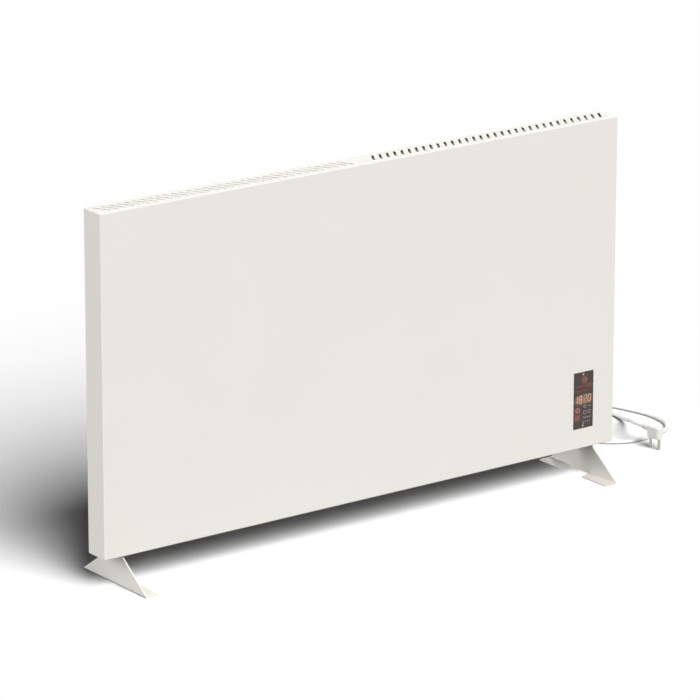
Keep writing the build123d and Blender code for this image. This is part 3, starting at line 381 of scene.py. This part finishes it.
def mouldedPiece(name):
    look = moulded[name]
    material, tree, place = newMaterial(name)
    grain = addNode(
        tree, "ShaderNodeTexNoise",
        {"Vector": place, "Scale": perMetre(look["grain"]), "Detail": 4.0},
    )
    # painted shade: the colour is darker where the grain's bump is low
    paintedHollowShade = addNode(
        tree, "ShaderNodeHueSaturation",
        {"Color": hexToLinear(look["colour"]), "Value": grainHollowPaintedShade},
    )
    colour = addNode(
        tree, "ShaderNodeMix",
        {
            "Factor": grain.outputs["Fac"],
            colourA: paintedHollowShade.outputs[0], colourB: hexToLinear(look["colour"]),
        },
        data_type="RGBA",
    )
    low, high = look["gloss"]
    gloss = addNode(
        tree, "ShaderNodeMapRange",
        {"Value": grain.outputs["Fac"], "To Min": low, "To Max": high},
    )
    bump = addNode(
        tree, "ShaderNodeBump",
        {"Height": grain.outputs["Fac"], "Strength": grainStrength, "Distance": look["depth"] * mm},
    )
    shader = addNode(
        tree, "ShaderNodeBsdfPrincipled",
        {
            "Base Color": colour.outputs[colourOut], "Roughness": gloss.outputs[0],
            "IOR": look["ior"], "Normal": bump.outputs[0],
        },
    )
    closeMaterial(tree, shader)
    return material


# bare and plated metals; a stretch below 1 draws the pattern out along that axis
# real rolling, die and drawing lines are far finer; all but the spangle are drawn coarser so that they show
metals = {
    # zinc-plated fasteners and weld nuts: bluish and bright
    "zincPlatedSteel": {
        "colour": "#C4C7C9", "dull": "#A3A7AA", "grain": 1.6, "gloss": (0.26, 0.42),
        "stretch": (1.0, 1.0, 1.0),
    },
    # hot-dip galvanised sheet: cool grey spangle about 9 mm across
    "galvanisedSheet": {
        "colour": "#B3B7B9", "dull": "#959A9D", "grain": 9.0, "gloss": (0.38, 0.55),
        "stretch": (1.0, 1.0, 1.0),
    },
    # rolled aluminium sheet: bright, with long faint roll lines
    "aluminisedShield": {
        "colour": "#C9CBCC", "dull": "#B5B8BA", "grain": 3.0, "gloss": (0.22, 0.40),
        "stretch": (0.06, 1.0, 1.0),
    },
    # extruded aluminium: pale, with fine die lines along the fins
    "extrudedAluminium": {
        "colour": "#CBCDCE", "dull": "#B2B5B7", "grain": 1.5, "gloss": (0.30, 0.45),
        "stretch": (0.03, 1.0, 1.0),
    },
    # annealed steel sheath of the element: brown-grey, with a straw heat tint
    "annealedSheathSteel": {
        "colour": "#8F8577", "dull": "#6E675D", "grain": 6.0, "gloss": (0.32, 0.50),
        "stretch": (0.2, 1.0, 1.0),
    },
    # nickel-plated brass, drawn: smooth and warm grey, its colour painted darker than plain nickel as painted
    # shade on the plug's pins
    "nickelPlatedBrassPaintedShade": {
        "colour": "#C6C0B5", "dull": "#A19B90", "grain": 2.0, "gloss": (0.16, 0.28),
        "stretch": (1.0, 1.0, 0.2),
    },
}
# for all of them: how deep the pattern is, and how strongly it shows
patternDepth = 0.03
patternStrength = 0.2


def metalPiece(name):
    look = metals[name]
    material, tree, place = newMaterial(name)
    mapping = addNode(tree, "ShaderNodeMapping", {"Vector": place, "Scale": look["stretch"]})
    grain = addNode(
        tree, "ShaderNodeTexNoise",
        {"Vector": mapping.outputs[0], "Scale": perMetre(look["grain"]), "Detail": 5.0},
    )
    colour = addNode(
        tree, "ShaderNodeMix",
        {
            "Factor": grain.outputs["Fac"],
            colourA: hexToLinear(look["colour"]), colourB: hexToLinear(look["dull"]),
        },
        data_type="RGBA",
    )
    low, high = look["gloss"]
    gloss = addNode(
        tree, "ShaderNodeMapRange",
        {"Value": grain.outputs["Fac"], "To Min": low, "To Max": high},
    )
    bump = addNode(
        tree, "ShaderNodeBump",
        {"Height": grain.outputs["Fac"], "Strength": patternStrength, "Distance": patternDepth * mm},
    )
    shader = addNode(
        tree, "ShaderNodeBsdfPrincipled",
        {
            "Base Color": colour.outputs[colourOut], "Metallic": 1.0,
            "Roughness": gloss.outputs[0], "Normal": bump.outputs[0],
        },
    )
    closeMaterial(tree, shader)
    return material


finishes = {"powderCoatedSteel": powderCoatedSteel(), "tintedGlass": tintedGlass()}
finishes.update({name: mouldedPiece(name) for name in moulded})
finishes.update({name: metalPiece(name) for name in metals})

# which node wears which finish
wear = {
    "powderCoatedSteel": ["front_shell", "rear_cover", "foot_left", "foot_right"],
    "tintedGlass": ["display_window"],
    "extrudedPvcJacket": ["cord_relief", "mains_tails", "block_lead"],
    "mouldedPvcPlug": ["plug_body", "cord_gland", "gland_nut"],
    "mouldedWhiteAbs": ["control_tray", "control_lid", "terminal_block", "sensor_clip", "display_ribbon"],
    "mouldedBlackPbt": [
        "display_frame", "relay", "power_supply", "thermal_cutout", "tip_housing", "tip_sensor",
        "digit_module", "room_sensor", "sensor_lead",
    ],
    "solderMaskedBoard": ["power_board", "display_board"],
    "glazedSteatite": ["element_bushes", "element_terminals"],
    "mouldedSilicone": ["lead_grommet", "touch_pads"],
    "redSiliconeWire": ["relay_lead", "cutout_lead"],
    "zincPlatedSteel": [
        "rear_cover_screws", "wall_nuts", "foot_screws", "foot_nuts", "tray_screws", "board_screws",
        "display_nuts", "tip_pin",
    ],
    "galvanisedSheet": [
        "front_stiffeners", "element_bracket_left", "element_bracket_right", "control_partition",
    ],
    "aluminisedShield": ["heat_shield"],
    "extrudedAluminium": ["element_fins"],
    "annealedSheathSteel": ["element_tube"],
    "nickelPlatedBrassPaintedShade": ["plug_pins", "tip_pendulum"],
}
for finish, names in wear.items():
    for name in names:
        dress(name, finishes[finish])
leadPiece.data.materials.append(finishes["extrudedPvcJacket"])
print("materials on", sum(len(names) for names in wear.values()), "nodes")


# lit signs on the display: thin plates that stand a hair in front of its glass, all sizes in mm

plates = {
    "face": -28.25,         # depth of the plates' front
    "thick": 0.04,
    "roundSteps": 20,       # corners of a dot and pieces of a ring
    "ringFill": 0.92,       # part of its step that each piece of a ring fills
}


def platesMesh(name, outlines):
    # outlines are lists of (x, z) on the display's plane
    mesh = bpy.data.meshes.new(name)
    sheet = bmesh.new()
    back = (plates["face"] + plates["thick"]) * mm
    for outline in outlines:
        corners = [sheet.verts.new((x * mm, back, z * mm)) for x, z in outline]
        sheet.faces.new(corners)
    made = bmesh.ops.extrude_face_region(sheet, geom=sheet.faces[:])
    moved = [part for part in made["geom"] if isinstance(part, bmesh.types.BMVert)]
    bmesh.ops.translate(sheet, verts=moved, vec=(0, -plates["thick"] * mm, 0))
    bmesh.ops.recalc_face_normals(sheet, faces=sheet.faces[:])
    sheet.to_mesh(mesh)
    sheet.free()
    return mesh


def bar(x0, z0, x1, z1, width):
    # pointed bar from one end to the other
    along = Vector((x1 - x0, z1 - z0))
    unit = along.normalized()
    across = Vector((-unit.y, unit.x)) * width / 2
    tip = unit * width / 2
    a, b = Vector((x0, z0)), Vector((x1, z1))
    corners = (a, a + tip + across, b - tip + across, b, b - tip - across, a + tip - across)
    return [tuple(corner) for corner in corners]


def uprightBars(left, low, high, count, pitch, width):
    return [bar(left + pitch * i, low, left + pitch * i, high, width) for i in range(count)]


def onCircle(x, z, radius, angle):
    return (x + radius * math.cos(angle), z + radius * math.sin(angle))


def ring(x, z, radius, width, start=0, stop=360):
    # ring of short trapezoids from one angle to the other, in degrees
    inner, outer = radius - width / 2, radius + width / 2
    count, sweep = plates["roundSteps"], stop - start
    outlines = []
    for index in range(count):
        a0 = math.radians(start + sweep * index / count)
        a1 = math.radians(start + sweep * (index + plates["ringFill"]) / count)
        corners = ((a0, inner), (a0, outer), (a1, outer), (a1, inner))
        outlines.append([onCircle(x, z, reach, angle) for angle, reach in corners])
    return outlines


def dot(x, z, radius):
    count = plates["roundSteps"]
    return [onCircle(x, z, radius, 2 * math.pi * index / count) for index in range(count)]


# seven-segment figures
figures = {
    "height": 12.2,
    "width": 6.6,
    "stroke": 1.5,
    "gap": 0.18,
    "slant": 0.06,
    "segments": {"0": "abcdef", "1": "bc", "2": "abged", "8": "abcdefg"},
    # figure, left end and foot of each
    "places": [("1", 419.1, 129.6), ("8", 428.4, 129.6), ("2", 438.8, 130.2), ("0", 447.2, 130.2)],
}


def figureOutlines(figure, x, z):
    w, h = figures["width"] - figures["stroke"], figures["height"]
    gap, slant = figures["gap"], figures["slant"]
    low, mid, top = 0.0, h / 2, h
    runs = {
        "a": (gap, top, w - gap, top),
        "b": (w, mid + gap, w, top - gap),
        "c": (w, low + gap, w, mid - gap),
        "d": (gap, low, w - gap, low),
        "e": (0, low + gap, 0, mid - gap),
        "f": (0, mid + gap, 0, top - gap),
        "g": (gap, mid, w - gap, mid),
    }
    outlines = []
    for segment in figures["segments"][figure]:
        x0, z0, x1, z1 = runs[segment]
        ends = (x + x0 + slant * z0, z + z0, x + x1 + slant * z1, z + z1)
        outlines.append(bar(*ends, figures["stroke"]))
    return outlines


# power sign: an open ring with a bar in its gap
powerSign = {
    "x": 425.8,
    "z": 118.2,
    "radius": 3.7,
    "arc": (125, 415),      # degrees; what it leaves open is the gap, at the top
    "bar": (118.6, 123.2),
    "stroke": 1.3,
}


def powerOutlines():
    x, stroke = powerSign["x"], powerSign["stroke"]
    low, high = powerSign["bar"]
    outlines = ring(x, powerSign["z"], powerSign["radius"], stroke, *powerSign["arc"])
    return outlines + [bar(x, low, x, high, stroke)]


# heat sign: three rising wavy lines, each of short strokes that lean to and fro
warmSign = {
    "lines": (-3.2, 0.0, 3.2),
    "x": 425.6,
    "low": 100.4,
    "high": 102.9,
    "rise": 2.3,
    "strokes": 4,
    "sway": 0.7,
    "stroke": 1.1,
}


def warmOutlines():
    outlines = []
    for line in warmSign["lines"]:
        x = warmSign["x"] + line
        for index in range(warmSign["strokes"]):
            side = warmSign["sway"] if index % 2 else -warmSign["sway"]
            low, high = [warmSign[end] + warmSign["rise"] * index for end in ("low", "high")]
            outlines.append(bar(x + side, low, x - side, high, warmSign["stroke"]))
    return outlines


# plain mode signs: an arrow head with a bar, a ring with two bars, and a row of ticks below
modeSigns = {
    # both ends and the width of each bar
    "arrow": [
        (437.0, 122.6, 444.0, 124.4, 1.3),
        (437.0, 122.6, 444.0, 120.4, 1.3),
        (446.5, 122.6, 453.5, 122.6, 1.5),
    ],
    # middle, radius and width
    "ring": (440.8, 112.8, 3.0, 1.3),
    "ringBars": [
        (446.5, 115.0, 454.0, 115.0, 1.4),
        (446.5, 111.2, 454.0, 111.2, 1.4),
    ],
    "ticks": {"left": 438.5, "low": 95.0, "high": 98.6, "count": 4, "pitch": 4.0, "width": 1.5},
}


def modeOutlines():
    outlines = [bar(*ends) for ends in modeSigns["arrow"]]
    outlines += ring(*modeSigns["ring"])
    outlines += [bar(*ends) for ends in modeSigns["ringBars"]]
    return outlines + uprightBars(**modeSigns["ticks"])


# wave sign: one zigzag that starts high
waveSign = {"turns": (436.8, 440.8, 444.8, 448.8, 452.8), "high": 106.0, "low": 102.2, "stroke": 1.5}


def waveOutlines():
    high, low = waveSign["high"], waveSign["low"]
    corners = [(x, low if index % 2 else high) for index, x in enumerate(waveSign["turns"])]
    return [bar(*start, *stop, waveSign["stroke"]) for start, stop in zip(corners, corners[1:])]


# rows of upright bars above the figures: left end, low, high and count of each row
scaleSigns = {
    "pitch": 2.6,
    "width": 1.3,
    "warm": [(421.8, 157.0, 159.6, 6), (421.8, 149.4, 151.6, 5)],
    "violet": [(438.0, 157.0, 159.8, 3), (436.4, 149.4, 151.8, 4)],
    "amber": [(446.2, 157.2, 160.2, 3)],
}


def scaleOutlines(tint):
    outlines = []
    for row in scaleSigns[tint]:
        outlines += uprightBars(*row, scaleSigns["pitch"], scaleSigns["width"])
    return outlines


# small dots near the display's top and foot: middle and radius
eyeSigns = [(437.0, 178.4, 1.7), (437.0, 90.6, 1.5), (437.6, 94.6, 0.9)]

tens, units, roomTens, roomUnits = [figureOutlines(*place) for place in figures["places"]]
# piece, outlines, colour and strength of its light
litSigns = [
    ("signTens", tens, "#C8B088", 1.0),
    ("signUnits", units, "#E09A80", 1.0),
    ("signRoomTens", roomTens, "#A58C79", 1.0),
    ("signRoomUnits", roomUnits, "#CDA085", 1.0),
    ("signPower", powerOutlines(), "#C47F76", 1.0),
    ("signWarm", warmOutlines(), "#9E625E", 1.0),
    ("signModes", modeOutlines(), "#857A7A", 0.95),
    ("signWave", waveOutlines(), "#7A7D7B", 0.95),
    ("signScale", scaleOutlines("warm"), "#6B5044", 0.7),
    ("signScaleViolet", scaleOutlines("violet"), "#74484E", 0.7),
    ("signScaleAmber", scaleOutlines("amber"), "#78523C", 0.8),
    ("signEyes", [dot(*eye) for eye in eyeSigns], "#C0AEA2", 1.0),
]
for name, outlines, code, strength in litSigns:
    piece = newPiece(name, platesMesh(name, outlines))
    piece.data.materials.append(litSegment(name + "Light", code, strength))
print("display signs made")


# floor, light and background

studio = {
    "floorHalf": 40.0,      # metres from its middle to an edge
    "paper": "#FFFFFF",
    "paperCloud": "#FDFDFD",
    "cloud": 2000.0,        # mm
    "shade": "#616161",     # what the floor throws back at the heater
    "sky": 0.03,            # what the world throws on the heater
    "background": 1.0,      # how bright the world looks behind it
}
# turn and angle in degrees; lights says what the lamp falls on
lamps = {
    "key": {"turn": (52.5, 0.0, 0.0), "strength": 3.78, "angle": 36.0, "lights": "heater", "fill": False},
    "floorKey": {"turn": (46.0, 0.0, -5.0), "strength": 4.4, "angle": 40.0, "lights": "floor", "fill": False},
    "side": {"turn": (70.0, 0.0, -103.0), "strength": 2.42, "angle": 50.0, "lights": "heater", "fill": True},
    "back": {"turn": (80.0, 0.0, 140.0), "strength": 2.95, "angle": 18.0, "lights": "heater", "fill": True},
}

floorMesh = bpy.data.meshes.new("studioFloor")
floorSheet = bmesh.new()
bmesh.ops.create_grid(floorSheet, x_segments=4, y_segments=4, size=studio["floorHalf"])
floorSheet.to_mesh(floorMesh)
floorSheet.free()
floorPiece = bpy.data.objects.new("studioFloor", floorMesh)
collection.objects.link(floorPiece)

# painted floor: seen as white paper, but dark to the light that it would throw back up at the heater
floorMaterial, floorTree, floorPlace = newMaterial("paintedStudioFloor")
floorCloud = addNode(
    floorTree, "ShaderNodeTexNoise",
    {"Vector": floorPlace, "Scale": perMetre(studio["cloud"])},
)
floorPaper = addNode(
    floorTree, "ShaderNodeMix",
    {
        "Factor": floorCloud.outputs["Fac"],
        colourA: hexToLinear(studio["paper"]), colourB: hexToLinear(studio["paperCloud"]),
    },
    data_type="RGBA",
)
floorPaint = addNode(floorTree, "ShaderNodeBsdfDiffuse", {"Color": floorPaper.outputs[colourOut]})
floorShade = addNode(floorTree, "ShaderNodeBsdfDiffuse", {"Color": hexToLinear(studio["shade"])})
floorMixed = addNode(
    floorTree, "ShaderNodeMixShader",
    {0: backdropRays(floorTree), 1: floorShade.outputs[0], 2: floorPaint.outputs[0]},
)
closeMaterial(floorTree, floorMixed)
floorMesh.materials.append(floorMaterial)

# the floor has a key of its own, so that its white and its shadow are set apart from the heater's
lampSets = {}
for name, state in (("floor", "INCLUDE"), ("heater", "EXCLUDE")):
    lampSets[name] = bpy.data.collections.new(name + "Lit")
    lampSets[name].objects.link(floorPiece)
    lampSets[name].collection_objects[0].light_linking.link_state = state

for name, lamp in lamps.items():
    lampData = bpy.data.lights.new(name + "Lamp", "SUN")
    lampData.energy = lamp["strength"]
    lampData.angle = math.radians(lamp["angle"])
    lampObject = bpy.data.objects.new(name + "Lamp", lampData)
    lampObject.rotation_euler = [math.radians(angle) for angle in lamp["turn"]]
    collection.objects.link(lampObject)
    lampObject.light_linking.receiver_collection = lampSets[lamp["lights"]]
    if lamp["fill"]:
        # lights only what it falls on: none of it is thrown on to the floor, and no sheen runs along the top
        lampData.cycles.max_bounces = 0
        lampObject.visible_glossy = False

world = bpy.data.worlds.new("studioSky")
bpy.context.scene.world = world
world.use_nodes = True
worldTree = world.node_tree
worldTree.nodes.clear()
skyPower = addNode(
    worldTree, "ShaderNodeMapRange",
    {"Value": backdropRays(worldTree), "To Min": studio["sky"], "To Max": studio["background"]},
)
sky = addNode(
    worldTree, "ShaderNodeBackground",
    {"Color": hexToLinear("#FFFFFF"), "Strength": skyPower.outputs[0]},
)
addNode(worldTree, "ShaderNodeOutputWorld", {"Surface": sky.outputs[0]})
bpy.context.scene.view_settings.view_transform = "Standard"
print("studio lit")
